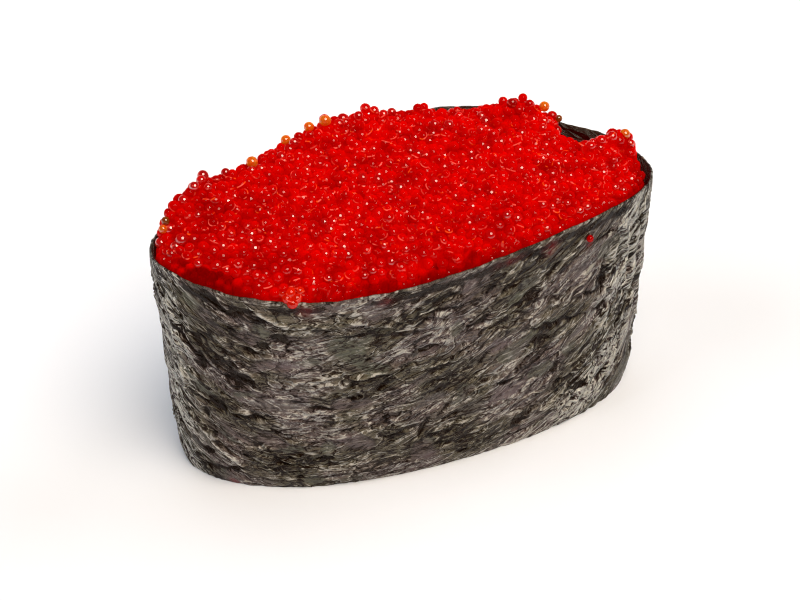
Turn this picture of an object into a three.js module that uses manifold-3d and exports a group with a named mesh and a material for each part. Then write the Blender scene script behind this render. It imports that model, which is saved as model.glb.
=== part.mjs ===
// Gunkan sushi: an oval band of nori wrapped once round a pressed bed of rice and heaped
// with small red fish eggs. Millimetres, +Z up, the long axis along X. The origin is on
// the surface that the piece stands on, under the middle of the band.

import * as THREE from 'three';
import { mergeVertices } from 'three/addons/utils/BufferGeometryUtils.js';
import Module from 'manifold-3d';

// ---------------------------------------------------------------- driving dimensions

// The band of nori, measured on its outer face.
const HALF_LENGTH = 28;
const HALF_WIDTH = 14.05;
const BAND_HEIGHT = 28.3;
const NORI_THICKNESS = 0.45;
const LEAN_AT_ENDS = 1.44;      // the foot of each end stands this far inside its rim
const LEAN_AT_FLANKS = 0.48;    // and the foot of each flank this far
const FOOT_TUCK = 0.45;         // the bottom edge curls in by this much
const FOOT_SHARE = 0.12;        // over this share of the height

// The strip is wound once round and glued over its own start, at the back.
const SEAM_ANGLE = THREE.MathUtils.degToRad(92);
const OVERLAP_ANGLE = THREE.MathUtils.degToRad(20);
const RAMP_ANGLE = THREE.MathUtils.degToRad(9);
const OVERLAP_GAP = 0.12;

// The bed of rice and the heap of eggs, pressed into the band.
const PRESS_GAP = 0.3;
const RICE_TOP = 19;
const GRAIN = { length: 5.4, width: 2.4, height: 2.2, tries: 30000 };
const EGG_DIAMETER = 1.2;
const EGG_PITCH = 0.94 * EGG_DIAMETER;  // the eggs nestle a little closer than they are wide
const EGG_NUDGE = 0.16;         // how far an egg strays from its place in the lattice
const EGG_LIFT = { least: 0.22, spread: 0.36 };  // of an egg's top above the heap
const HOLLOW_DEPTH = 0.2;       // of the low point between three eggs, below the heap
const EDGE_LEVEL = -0.5;        // of the heap at the wall, against the rim beside it
const CROWN_RISE = 3.4;         // from the wall to the middle of the heap
const SHOULDER = 2.3;           // distance from the wall over which it mostly rises

// Mesh sizes.
const STRIP_COLUMNS = 92;
const OUTER_ROWS = 12;
const INNER_ROWS = 5;
const CORE_COLUMNS = 84;
const FINEST = 0.03;            // joins and cuts leave nothing shorter than about this

// ---------------------------------------------------------------- small helpers

const { sin, cos, exp, hypot, max, min, PI } = Math;
const TURN = 2 * PI;
const degrees = THREE.MathUtils.degToRad;
const wasm = await Module();
wasm.setup();

// A small seeded generator, so that each run gives the same numbers from 0 to 1.
function generator(seed) {
  let state = seed;
  return () => {
    state = (state * 1664525 + 1013904223) % 4294967296;
    return state / 4294967296;
  };
}

// 1 at the angle `middle`, fading to 0 over about `width` either side of it.
function bell(angle, middle, width) {
  const away = Math.atan2(sin(angle - middle), cos(angle - middle));
  return exp(-((away / width) ** 2));
}

function closedGeometry(points, triangles) {
  const geometry = new THREE.BufferGeometry().setFromPoints(points);
  geometry.setIndex(triangles.flat());
  return geometry;
}

// A closed geometry as a manifold solid. Triangles that a pole has flattened are dropped.
function solid(geometry) {
  const bare = geometry.clone();
  bare.deleteAttribute('normal');
  bare.deleteAttribute('uv');
  const merged = mergeVertices(bare, 1e-4);
  const corners = Array.from(merged.index.array);
  const kept = [];
  for (let i = 0; i < corners.length; i += 3) {
    const [a, b, c] = corners.slice(i, i + 3);
    if (a !== b && b !== c && c !== a) kept.push(a, b, c);
  }
  return new wasm.Manifold(new wasm.Mesh({
    numProp: 3,
    vertProperties: new Float32Array(merged.attributes.position.array),
    triVerts: new Uint32Array(kept),
  }));
}

function geometryOf(body) {
  const mesh = body.getMesh();
  const geometry = new THREE.BufferGeometry();
  geometry.setAttribute('position', new THREE.BufferAttribute(new Float32Array(mesh.vertProperties), 3));
  geometry.setIndex(new THREE.BufferAttribute(new Uint32Array(mesh.triVerts), 1));
  return geometry;
}

// Joins solids two by two, so that no join grows long.
function fuse(bodies) {
  let round = bodies;
  while (round.length > 1) {
    const next = [];
    for (let i = 0; i < round.length; i += 2) {
      next.push(i + 1 < round.length ? round[i].add(round[i + 1]) : round[i]);
    }
    round = next;
  }
  return round[0];
}

// A closed solid through rings of as many points each, lowest first, with a fan at both ends.
function loft(rings) {
  const count = rings[0].length;
  const points = rings.flat();
  const triangles = [];
  for (let r = 0; r + 1 < rings.length; r++) {
    for (let i = 0; i < count; i++) {
      const a = r * count + i;
      const b = r * count + (i + 1) % count;
      triangles.push([a, b, b + count], [a, b + count, a + count]);
    }
  }
  const middle = (ring) => ring.reduce((sum, p) => sum.add(p), new THREE.Vector3()).divideScalar(count);
  const foot = points.push(middle(rings[0])) - 1;
  const head = points.push(middle(rings[rings.length - 1])) - 1;
  const last = (rings.length - 1) * count;
  for (let i = 0; i < count; i++) {
    const j = (i + 1) % count;
    triangles.push([foot, j, i], [head, last + i, last + j]);
  }
  return closedGeometry(points, triangles);
}

// ---------------------------------------------------------------- the form of the band

// The hand-wrapped oval at the rim: an ellipse with a blunter left end, a straighter front
// and a fuller back right, moved so that the whole band is centred on the origin.
const OVAL_CENTRE = { x: -0.03, y: 1.25 };

function oval(angle) {
  const x = HALF_LENGTH * cos(angle) - 0.05 * cos(2 * angle) - 0.07 * sin(2 * angle) - 0.83 * sin(3 * angle);
  const y = HALF_WIDTH * sin(angle) - 1.07 * cos(2 * angle) + 0.83 * sin(2 * angle) - 0.16 * cos(3 * angle);
  return new THREE.Vector2(x - OVAL_CENTRE.x, y - OVAL_CENTRE.y);
}

function outward(angle) {
  const step = 1e-3;
  const along = oval(angle + step).sub(oval(angle - step)).normalize();
  return new THREE.Vector2(along.y, -along.x);
}

// Height of the rim: long waves of the whole sheet and one short dip at the back right.
function rim(angle) {
  const waves = 0.44 * cos(2 * angle) - 0.34 * sin(2 * angle) - 0.67 * cos(3 * angle) - 0.25 * sin(3 * angle);
  return BAND_HEIGHT + waves - 0.45 * bell(angle, degrees(31), degrees(8));
}

// A point `depth` inside the band's outer face, at a share of its height from 0 to 1.
function wall(angle, share, depth) {
  const lean = 1 - share;
  const foot = FOOT_TUCK * max(0, 1 - share / FOOT_SHARE) ** 2;
  const middle = oval(angle);
  const out = outward(angle);
  return new THREE.Vector3(
    middle.x + 0.265 * lean - out.x * (LEAN_AT_ENDS * lean + foot + depth),
    middle.y - 0.113 * lean - out.y * (LEAN_AT_FLANKS * lean + foot + depth),
    share * rim(angle),
  );
}

// ---------------------------------------------------------------- nori

// How far the outer face stands out from its even curve: creases that run mostly along the
// band, and a lip at the right end, where the sheet stands off the eggs.
function crumple(angle, share) {
  const height = share * BAND_HEIGHT;
  const creases = 0.06 * sin(0.95 * height + 3 * sin(2 * angle + 0.4))
    + 0.05 * sin(1.35 * height - 5 * angle + 1.7 * cos(3 * angle))
    + 0.04 * sin(0.55 * height + 9 * angle + 2 * sin(angle))
    + 0.03 * sin(17 * angle - 0.5 * height);
  const lip = 0.4 * bell(angle, degrees(326), degrees(16)) * THREE.MathUtils.smoothstep(share, 0.82, 0.9);
  return creases + lip;
}

// The strip's section at a travel from 0, its glued-down start, to 1, its free end.
function stripSection(travel) {
  const turned = travel * (TURN + OVERLAP_ANGLE);
  const angle = SEAM_ANGLE + turned;
  const start = THREE.MathUtils.smoothstep(turned, OVERLAP_ANGLE, OVERLAP_ANGLE + RAMP_ANGLE);
  const lift = (NORI_THICKNESS + OVERLAP_GAP) * THREE.MathUtils.smoothstep(turned, TURN - RAMP_ANGLE, TURN);
  const section = [];
  for (let row = 0; row < OUTER_ROWS; row++) {
    const share = row / (OUTER_ROWS - 1);
    const edge = min(1, 4 * min(share, 1 - share) + 0.25);
    section.push(wall(angle, share, -lift - start * edge * crumple(angle, share)));
  }
  for (let row = INNER_ROWS - 1; row >= 0; row--) {
    const share = FOOT_SHARE + (1 - FOOT_SHARE) * (row - 1) / (INNER_ROWS - 2);
    section.push(wall(angle, max(0, share), NORI_THICKNESS - lift));
  }
  return section;
}

// The cut end of the strip: its outer edge climbs up one side and its inner edge up the
// other, and each triangle steps up whichever side is lower.
function sectionTriangles(section) {
  const triangles = [];
  let outer = 0;
  let inner = section.length - 1;
  while (outer < OUTER_ROWS - 1 || inner > OUTER_ROWS) {
    const outerNext = outer < OUTER_ROWS - 1 ? section[outer + 1].z : Infinity;
    const innerNext = inner > OUTER_ROWS ? section[inner - 1].z : Infinity;
    if (outerNext <= innerNext) triangles.push([inner, outer, ++outer]);
    else triangles.push([inner, outer, --inner]);
  }
  return triangles;
}

function noriGeometry() {
  const sections = [];
  for (let column = 0; column <= STRIP_COLUMNS; column++) sections.push(stripSection(column / STRIP_COLUMNS));
  const count = sections[0].length;
  const triangles = [];
  for (let column = 0; column < STRIP_COLUMNS; column++) {
    for (let i = 0; i < count; i++) {
      const a = column * count + i;
      const b = column * count + (i + 1) % count;
      triangles.push([a, a + count, b + count], [a, b + count, b]);
    }
  }
  const last = STRIP_COLUMNS * count;
  for (const [a, b, c] of sectionTriangles(sections[0])) {
    triangles.push([a, b, c], [last + a, last + c, last + b]);
  }
  return closedGeometry(sections.flat(), triangles);
}

// ---------------------------------------------------------------- what fills the band

// A solid that fills the band between two heights, clear of the nori by the press gap.
function filling(low, high) {
  const levels = [low, low + 1.2, low + 3.4, high];
  const rings = levels.map((z) => {
    const ring = [];
    for (let i = 0; i < CORE_COLUMNS; i++) {
      const angle = i / CORE_COLUMNS * TURN;
      const point = wall(angle, min(1, z / rim(angle)), NORI_THICKNESS + PRESS_GAP);
      ring.push(point.setZ(z));
    }
    return ring;
  });
  return solid(loft(rings));
}

// The band's inner face in plan, at the rim and at the foot.
const innerFace = (share) => Array.from({ length: 720 }, (_, i) => {
  const angle = i / 720 * TURN;
  return { angle, point: wall(angle, share, NORI_THICKNESS) };
});
const FACE_AT_RIM = innerFace(1);
const FACE_AT_FOOT = innerFace(0);

// The distance from a point of the plan to the face, inside or beyond it, and the angle there.
function nearest(face, x, y) {
  let best = { distance: Infinity };
  for (const { angle, point } of face) {
    const distance = hypot(x - point.x, y - point.y);
    if (distance < best.distance) best = { distance, angle, point };
  }
  const out = outward(best.angle);
  const inside = (best.point.x - x) * out.x + (best.point.y - y) * out.y > 0;
  return { angle: best.angle, distance: inside ? best.distance : 0, beyond: inside ? 0 : best.distance };
}

// ---------------------------------------------------------------- rice

// One grain: six sides, plump in the middle, lying along X.
function grainGeometry() {
  const profile = [[0, -0.5], [0.36, -0.38], [0.5, 0], [0.36, 0.38], [0, 0.5]];
  const lathe = new THREE.LatheGeometry(profile.map(([r, y]) => new THREE.Vector2(r, y)), 6);
  return lathe.rotateZ(PI / 2).scale(GRAIN.length, GRAIN.width, GRAIN.height);
}

// The pressed bed. The grains of its underside stand out of it, side by side, and are cut off
// level with the foot of the band. The first one lies over the origin.
function riceGeometry() {
  const random = generator(11);
  const grain = grainGeometry();
  const spine = (GRAIN.length - GRAIN.width) / 2;
  const laid = [];
  const grains = [];
  for (let n = 0; n < GRAIN.tries; n++) {
    const x = n > 0 ? (2 * random() - 1) * HALF_LENGTH : 0;
    const y = n > 0 ? (2 * random() - 1) * HALF_WIDTH : 0;
    const turn = random() * PI;
    const beads = [-1, -0.33, 0.33, 1].map((k) => [x + k * spine * cos(turn), y + k * spine * sin(turn)]);
    const clear = ([bx, by]) => laid.every(([lx, ly]) => hypot(bx - lx, by - ly) > 0.92 * GRAIN.width);
    const inside = ([bx, by]) => nearest(FACE_AT_FOOT, bx, by).distance > GRAIN.width / 2 + PRESS_GAP;
    if (!beads.every(clear) || !beads.every(inside)) continue;
    laid.push(...beads);
    const height = GRAIN.height * (0.36 + 0.08 * random());
    const place = new THREE.Matrix4().makeRotationZ(turn).setPosition(x, y, height);
    grains.push(solid(grain.clone().applyMatrix4(place)));
  }
  const core = filling(GRAIN.height * 0.5, RICE_TOP);
  const bed = fuse([core, fuse(grains)]).trimByPlane([0, 0, 1], 0);
  return geometryOf(bed.simplify(FINEST));
}

// ---------------------------------------------------------------- roe

// Banks and hollows along the wall, by the angle of their middle, their spread, how far the
// eggs stand above or below the even heap there, and how far in from the wall they reach.
const BANKS = [
  { middle: degrees(120), spread: degrees(36), rise: 1.8, reach: 6 },     // long bank, back left
  { middle: degrees(97), spread: degrees(10), rise: 1.8, reach: 5 },      // its high part
  { middle: degrees(147), spread: degrees(12), rise: 2.5, reach: 4 },     // round the left end
  { middle: degrees(136), spread: degrees(4), rise: 1.2, reach: 2.5 },    // clump on top of it
  { middle: degrees(67), spread: degrees(13), rise: -0.7, reach: 4 },     // low stretch at the back
  { middle: degrees(43), spread: degrees(9), rise: 1.7, reach: 4 },       // bank, back right
  { middle: degrees(24.5), spread: degrees(4.5), rise: -4.4, reach: 3.4 }, // notch that bares the nori
  { middle: degrees(1), spread: degrees(9), rise: 1.9, reach: 4 },        // right end
  { middle: degrees(340), spread: degrees(8), rise: -1.7, reach: 2 },     // hollow beside it
  { middle: degrees(169), spread: degrees(7), rise: -0.9, reach: 3 },     // hollow, left end
  { middle: degrees(232), spread: degrees(4), rise: 0.8, reach: 3 },      // eggs against the front rim
];

// Height of the heap over the plan, before its eggs: it rises from the wall over a shoulder
// to a crown, with the banks along the wall and slow lumps all over. A bank's side is rounded
// over towards the wall.
function heap(x, y) {
  const { angle, distance } = nearest(FACE_AT_RIM, x, y);
  let level = BAND_HEIGHT + (rim(angle) - BAND_HEIGHT) * exp(-distance / 4);
  level += EDGE_LEVEL + CROWN_RISE * (1 - exp(-distance / SHOULDER));
  for (const { middle, spread, rise, reach } of BANKS) {
    const side = rise > 0 ? 1 - 0.4 * exp(-((distance / 0.7) ** 2)) : 1;
    level += rise * side * bell(angle, middle, spread) * exp(-((distance / reach) ** 2));
  }
  const lumps = 0.22 * sin(0.62 * x + 0.35 * y)
    + 0.2 * sin(0.9 * y - 0.37 * x + 1.1)
    + 0.16 * sin(1.05 * x - 0.8);
  return level + lumps * (1 - exp(-distance / 3));
}

// Single eggs that stand proud of the heap along its back edge and at its ends: the angle of
// each, in degrees, and how far it sits inside the rim.
const PROUD_EGGS = [
  [165, 2.4], [139.5, 2.2], [136.5, 1.9], [133.5, 3], [120.5, 1.9], [111.5, 2], [108.5, 3],
  [105, 2], [101, 2], [89, 2], [85.5, 2.4], [47, 2], [36, 2.2], [7, 2.6], [0, 1.9],
].map(([angle, inset]) => wall(degrees(angle), 1, inset));

// The places of the eggs: a triangular lattice, nudged at random, that reaches past the wall.
function eggSites() {
  const random = generator(29);
  const rowStep = EGG_PITCH * Math.sqrt(3) / 2;
  const rows = Math.ceil((HALF_WIDTH + 3) / rowStep);
  const columns = Math.ceil((HALF_LENGTH + 3) / EGG_PITCH) + Math.ceil(rows / 2);
  const sites = new Map();
  for (let j = -rows; j <= rows; j++) {
    for (let i = -columns; i <= columns; i++) {
      const x = (i + j / 2) * EGG_PITCH + (2 * random() - 1) * EGG_NUDGE;
      const y = j * rowStep + (2 * random() - 1) * EGG_NUDGE;
      const lift = EGG_LIFT.least + EGG_LIFT.spread * random() ** 2;
      const { distance, beyond } = nearest(FACE_AT_RIM, x, y);
      if (beyond > 2 * EGG_PITCH) continue;
      sites.set(`${i},${j}`, { i, j, x, y, lift, inside: distance > PRESS_GAP + 0.32 * EGG_PITCH });
    }
  }
  return sites;
}

// The places nearest to the eggs that stand proud.
function proudSites(sites) {
  const free = [...sites.values()].filter(({ inside }) => inside);
  return new Set(PROUD_EGGS.map((egg) => {
    const away = ({ x, y }) => hypot(x - egg.x, y - egg.y);
    return free.reduce((best, site) => (away(site) < away(best) ? site : best));
  }));
}

// The surface of the heap: a six-sided bump for each egg, between the low points that it
// shares with its neighbours. A proud egg swells out over a neck, ring by ring.
function eggSurface(sites) {
  const points = [];
  const triangles = [];
  const numbers = new Map();
  const hollow = (trio) => {
    const name = trio.map(({ i, j }) => `${i},${j}`).sort().join(' ');
    if (!numbers.has(name)) {
      const x = (trio[0].x + trio[1].x + trio[2].x) / 3;
      const y = (trio[0].y + trio[1].y + trio[2].y) / 3;
      numbers.set(name, points.push(new THREE.Vector3(x, y, heap(x, y) - HOLLOW_DEPTH)) - 1);
    }
    return numbers.get(name);
  };
  const beside = [[1, 0], [0, 1], [-1, 1], [-1, 0], [0, -1], [1, -1]];
  const proud = proudSites(sites);
  const radius = EGG_DIAMETER / 2;
  const swelling = [[0.67, 0.17], [0.87, 0.83], [0.6, 1.5]].map((pair) => pair.map((share) => share * radius));
  for (const site of sites.values()) {
    if (!site.inside) continue;
    const level = heap(site.x, site.y);
    const around = beside.map(([di, dj]) => sites.get(`${site.i + di},${site.j + dj}`));
    let ring = around.map((other, n) => hollow([site, other, around[(n + 1) % 6]]));
    for (const [reach, height] of proud.has(site) ? swelling : []) {
      const next = ring.map((low) => {
        const away = new THREE.Vector3(points[low].x - site.x, points[low].y - site.y, 0).setLength(reach);
        return points.push(new THREE.Vector3(site.x, site.y, level + height).add(away)) - 1;
      });
      ring.forEach((low, n) => {
        const m = (n + 1) % 6;
        triangles.push([low, ring[m], next[m]], [low, next[m], next[n]]);
      });
      ring = next;
    }
    const height = proud.has(site) ? 1.75 * radius : site.lift;
    const top = points.push(new THREE.Vector3(site.x, site.y, level + height)) - 1;
    ring.forEach((low, n) => triangles.push([top, low, ring[(n + 1) % 6]]));
  }
  return { points, triangles };
}

// The heap: its outermost low points are spread evenly along the wall, and from there its
// side drops to a level underside.
function roeGeometry() {
  const { points, triangles } = eggSurface(eggSites());
  const edge = openEdge(triangles);
  const angles = evenAngles(edge.map((n) => nearest(FACE_AT_RIM, points[n].x, points[n].y).angle));
  const depth = NORI_THICKNESS + PRESS_GAP;
  const underside = RICE_TOP + PRESS_GAP;
  const foot = edge.map((n, k) => {
    const angle = angles[k];
    const beside = wall(angle, 1, depth);
    const level = heap(beside.x, beside.y) - HOLLOW_DEPTH / 2;
    points[n] = wall(angle, min(1, level / rim(angle)), depth).setZ(level);
    return points.push(wall(angle, underside / rim(angle), depth).setZ(underside)) - 1;
  });
  const middle = points.push(new THREE.Vector3(0, 0, underside)) - 1;
  edge.forEach((n, k) => {
    const m = (k + 1) % edge.length;
    triangles.push([n, foot[k], foot[m]], [n, foot[m], edge[m]], [middle, foot[m], foot[k]]);
  });
  return closedGeometry(points, triangles);
}

// The points round the open edge of a surface, in the order that its triangles run.
function openEdge(triangles) {
  const open = new Map();
  for (const [a, b, c] of triangles) {
    for (const [from, to] of [[a, b], [b, c], [c, a]]) {
      if (!open.delete(`${to} ${from}`)) open.set(`${from} ${to}`, [from, to]);
    }
  }
  const after = new Map(open.values());
  const [first] = after.keys();
  const loop = [first];
  for (let next = after.get(first); next !== first; next = after.get(next)) loop.push(next);
  return loop;
}

// Angles round one turn, spaced out so that none bunch up or run backwards.
function evenAngles(angles) {
  let run = angles.map((angle, n) => {
    const even = angles[0] + n / angles.length * TURN;
    return even + Math.atan2(sin(angle - even), cos(angle - even));
  });
  for (let pass = 0; pass < 60; pass++) {
    run = run.map((angle, n) => {
      const before = n > 0 ? run[n - 1] : run[run.length - 1] - TURN;
      const after = n + 1 < run.length ? run[n + 1] : run[0] + TURN;
      return (before + 2 * angle + after) / 4;
    });
  }
  return run;
}

// ---------------------------------------------------------------- materials and assembly

const materials = {
  nori: new THREE.MeshStandardMaterial({ color: 0x4a443c, roughness: 0.55, metalness: 0 }),
  rice: new THREE.MeshStandardMaterial({ color: 0xe9e4d6, roughness: 0.5, metalness: 0 }),
  roe: new THREE.MeshStandardMaterial({ color: 0xc80c08, roughness: 0.25, metalness: 0 }),
};

const makers = { nori: noriGeometry, rice: riceGeometry, roe: roeGeometry };

const sushi = new THREE.Group();
for (const [name, make] of Object.entries(makers)) {
  const mesh = new THREE.Mesh(make(), materials[name]);
  mesh.name = name;
  sushi.add(mesh);
}

export default sushi;
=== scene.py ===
"""Gunkan sushi: an oval band of moist nori wrapped once round pressed rice and heaped with
small red fish eggs. Shapes are worked out in millimetres, +Z up, the long axis along X, and
become metres as each mesh is made."""

import math
from functools import lru_cache

import bmesh
import bpy
import numpy as np
from bpy.props import FloatProperty, FloatVectorProperty, IntProperty, PointerProperty
from bpy.types import Operator, Panel, PropertyGroup
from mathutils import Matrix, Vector


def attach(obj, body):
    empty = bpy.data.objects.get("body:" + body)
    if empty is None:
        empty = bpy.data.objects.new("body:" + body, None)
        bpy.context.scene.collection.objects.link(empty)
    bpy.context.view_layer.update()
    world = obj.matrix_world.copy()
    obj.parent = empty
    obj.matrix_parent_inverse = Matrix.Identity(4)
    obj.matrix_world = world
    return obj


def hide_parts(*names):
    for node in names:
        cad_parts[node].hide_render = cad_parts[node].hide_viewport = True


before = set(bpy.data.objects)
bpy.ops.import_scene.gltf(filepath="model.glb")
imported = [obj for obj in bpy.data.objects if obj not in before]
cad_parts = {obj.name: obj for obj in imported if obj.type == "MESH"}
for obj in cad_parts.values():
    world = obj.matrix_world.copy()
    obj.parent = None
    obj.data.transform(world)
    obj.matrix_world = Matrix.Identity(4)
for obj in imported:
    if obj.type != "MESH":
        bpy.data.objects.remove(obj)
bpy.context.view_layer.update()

bl_info = {
    "name": "Gunkan sushi",
    "version": (1, 0, 0),
    "blender": (4, 5, 0),
    "location": "View3D > Sidebar > Sushi",
    "description": "Nori band, pressed rice and a heap of small red fish eggs",
    "category": "Add Mesh",
}

MM = 0.001
TURN = 2 * np.pi

# --- the form of the band

HALF_LENGTH = 28.0
HALF_WIDTH = 14.05
BAND_HEIGHT = 28.3
FACE_DEPTH = 0.45         # the sheet's thickness, from its outer face to its inner one
SEAM = math.radians(92)   # where the strip starts, at the back
OVERLAP = math.radians(20)
RAMP = math.radians(9)    # the strip's end climbs over its start within this angle
LAYER = 0.57              # and then lies this far outside it
RICE_TOP = 19.0
ROE_FOOT = 19.3
SHEET_UNIT = 100          # mm of the sheet for each unit of its UV map


def hill(away, width):
    """1 where `away` is 0, and less on both sides of it by exp(-(away / width)^2)."""
    return np.exp(-((away / width) ** 2))


def bell(angle, middle, width):
    """A hill over the angle, with its middle and width in degrees."""
    away = angle - np.radians(middle)
    return hill(np.degrees(np.arctan2(np.sin(away), np.cos(away))), width)


def smoothstep(value, low, high):
    """0 below `low`, 1 above `high`, and 3k^2 - 2k^3 of the share k between them."""
    share = np.clip((value - low) / (high - low), 0, 1)
    return share * share * (3 - 2 * share)


def oval(angle):
    """The band's outline at its rim: an ellipse of the half length and half width, with waves
    of two and three periods that make the right end blunter than the left."""
    x = (HALF_LENGTH * np.cos(angle) - 0.05 * np.cos(2 * angle) - 0.07 * np.sin(2 * angle)
         - 0.83 * np.sin(3 * angle))
    y = (HALF_WIDTH * np.sin(angle) - 1.07 * np.cos(2 * angle) + 0.83 * np.sin(2 * angle)
         - 0.16 * np.cos(3 * angle))
    return x + 0.03, y - 1.25


def outward(angle):
    """The outline's unit normal in plan: the step along it, turned a quarter to the right."""
    ahead, behind = oval(angle + 1e-3), oval(angle - 1e-3)
    along_x, along_y = ahead[0] - behind[0], ahead[1] - behind[1]
    length = np.hypot(along_x, along_y)
    return along_y / length, -along_x / length


def rim(angle):
    """Height of the rim: the band's height with waves of two and three periods and a dip."""
    waves = (0.44 * np.cos(2 * angle) - 0.34 * np.sin(2 * angle)
             - 0.67 * np.cos(3 * angle) - 0.25 * np.sin(3 * angle))
    return BAND_HEIGHT + waves - 0.45 * bell(angle, 31, 8)


def wall(angle, share, depth):
    """A point `depth` inside the band's outer face, at a share of its height: the outline moved
    inwards by the lean, which fades to 0 at the rim, by the curl of the foot, 0.45 (1 - share
    / 0.12)^2, and by the depth."""
    angle, share, depth = np.broadcast_arrays(angle, share, depth)
    lean = 1 - share
    foot = 0.45 * np.maximum(0, 1 - share / 0.12) ** 2
    (x, y), (out_x, out_y) = oval(angle), outward(angle)
    return np.stack([
        x + 0.265 * lean - out_x * (1.44 * lean + foot + depth),
        y - 0.113 * lean - out_y * (0.48 * lean + foot + depth),
        share * rim(angle),
    ], -1)


def ripple(x, y, seed):
    """Smooth noise of about -1 to 1 with a pitch of 1: a random slope at each whole point of
    the plane, and between four of them their heights blended by 6k^5 - 15k^4 + 10k^3."""
    turns = np.random.default_rng(seed).uniform(0, TURN, (256, 256))
    x, y = np.broadcast_arrays(x, y)
    column, row = np.floor(x).astype(int), np.floor(y).astype(int)
    u, v = x - column, y - row

    def height(right, up):
        turn = turns[(column + right) & 255, (row + up) & 255]
        return np.cos(turn) * (u - right) + np.sin(turn) * (v - up)

    blend_u, blend_v = (k * k * k * (k * (6 * k - 15) + 10) for k in (u, v))
    low = height(0, 0) + blend_u * (height(1, 0) - height(0, 0))
    high = height(0, 1) + blend_u * (height(1, 1) - height(0, 1))
    return 1.5 * (low + blend_v * (high - low))


# --- the form of the heap

FACE_ANGLES = np.arange(720) / 720 * TURN
FACE = wall(FACE_ANGLES, 1.0, FACE_DEPTH)[:, :2]
FACE_OUT = np.stack(outward(FACE_ANGLES), -1)

# Banks and hollows along the wall: the middle and the spread in degrees, the rise in mm and how
# far in from the wall it reaches.
BANKS = [
    (120, 36, 1.8, 6), (97, 10, 1.8, 5), (147, 12, 2.5, 4), (136, 4, 1.2, 2.5), (67, 13, -0.7, 4),
    (43, 9, 1.7, 4), (25, 5, -6, 4), (17, 5, -4.6, 3.8), (1, 7, 2.6, 4), (340, 8, -1.7, 2),
    (169, 7, -0.9, 3), (232, 4, 0.8, 3), (350, 6, -2.2, 2.2),
]

# Eggs that stand on the heap by themselves: the angle in degrees, how far inside the outer rim,
# the radius in mm and the kind. Deep ones are red and get little light.
SINGLE_EGGS = [
    (122, 2.94, 0.64, "amber"), (104, 1.6, 0.6, "amber"), (101.5, 3.0, 0.66, "amber"),
    (110.5, 1.8, 0.58, "amber"), (110.5, 3.4, 0.6, "red"), (136, 1.7, 0.62, "red"),
    (138.5, 2.3, 0.56, "red"), (143, 2.7, 0.58, "red"), (89.5, 1.9, 0.64, "red"),
    (87.5, 2.2, 0.6, "red"), (93, 3.4, 0.6, "red"), (87, 4.2, 0.58, "red"), (46, 3.6, 0.6, "deep"),
    (33, 2.0, 0.56, "deep"), (36, 1.85, 0.6, "amber"), (1, 1.7, 0.62, "amber"), (334, 6.7, 0.62, "red"),
    (359, 5.2, 0.6, "red"), (359.5, 3.7, 0.62, "red"), (31, 1.7, 0.42, "brown"),
    (158.5, 1.5, 0.46, "brown"), (162.5, 1.4, 0.48, "amber"),
]

# Eggs that hang over the front rim: the angle, how far inside the outer rim, the height over it
# and the radius.
HANGING_EGGS = [
    (233.4, 0.1, 0.05, 0.6), (231.9, 0.5, 0.3, 0.56), (234.6, 0.55, 0.35, 0.62),
    (233.0, 0.95, 0.75, 0.66), (235.6, 1.1, 0.9, 0.52), (230.6, 1.0, 0.6, 0.52), (234.2, 1.6, 1.1, 0.58),
]


def nearest(x, y):
    """For points of the plan: the angle of the nearest point of the band's inner face at the
    rim, the distance inside it, negative beyond it, and the outward direction there."""
    points = np.stack([np.ravel(x), np.ravel(y)], -1)
    best = np.concatenate([
        ((part ** 2).sum(1)[:, None] + (FACE ** 2).sum(1) - 2 * part @ FACE.T).argmin(1)
        for part in np.array_split(points, 1 + len(points) // 4000)
    ])
    away = FACE[best] - points
    square_on = (away * FACE_OUT[best]).sum(1)
    straight = np.hypot(*away.T) * np.sign(square_on)
    inside = np.where(np.abs(straight) < 1, square_on, straight)
    shape = np.shape(x)
    return FACE_ANGLES[best].reshape(shape), inside.reshape(shape), FACE_OUT[best].reshape(shape + (2,))


def heap(x, y):
    """Height of the heap under its eggs. From the wall it rises by 3.4 (1 - exp(-d / 2.3)) over
    the distance d, with each bank's rise times its bell and a hill over d, and three slow waves."""
    angle, distance, _ = nearest(x, y)
    distance = np.maximum(distance, 0)
    level = BAND_HEIGHT + (rim(angle) - BAND_HEIGHT) * np.exp(-distance / 4)
    level = level - 0.5 + 3.4 * (1 - np.exp(-distance / 2.3))
    for middle, spread, rise, reach in BANKS:
        side = 1 - 0.4 * hill(distance, 0.7) if rise > 0 else 1
        level = level + rise * side * bell(angle, middle, spread) * hill(distance, reach)
    waves = (0.22 * np.sin(0.62 * x + 0.35 * y) + 0.2 * np.sin(0.9 * y - 0.37 * x + 1.1)
             + 0.16 * np.sin(1.05 * x - 0.8))
    return level + waves * (1 - np.exp(-distance / 3))


# --- meshes

def grid_faces(rows, columns):
    """Four corners for each cell of a grid whose points run along its rows, which are closed."""
    row = np.arange(rows - 1)[:, None] * columns
    column = np.arange(columns)[None, :]
    right = (column + 1) % columns
    corners = (row + column, row + right, row + columns + right, row + columns + column)
    return np.stack(corners, -1).reshape(-1, 4)


def fan(centre, ring, after):
    """Triangles from one point to each step of a ring."""
    return np.stack([np.full_like(ring, centre), ring, after], -1).tolist()


def copies(faces, corners, count):
    """The triangles of so many copies of a form with so many corners, one after the other."""
    return (faces[None] + corners * np.arange(count)[:, None, None]).reshape(-1, 3).tolist()


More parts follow.
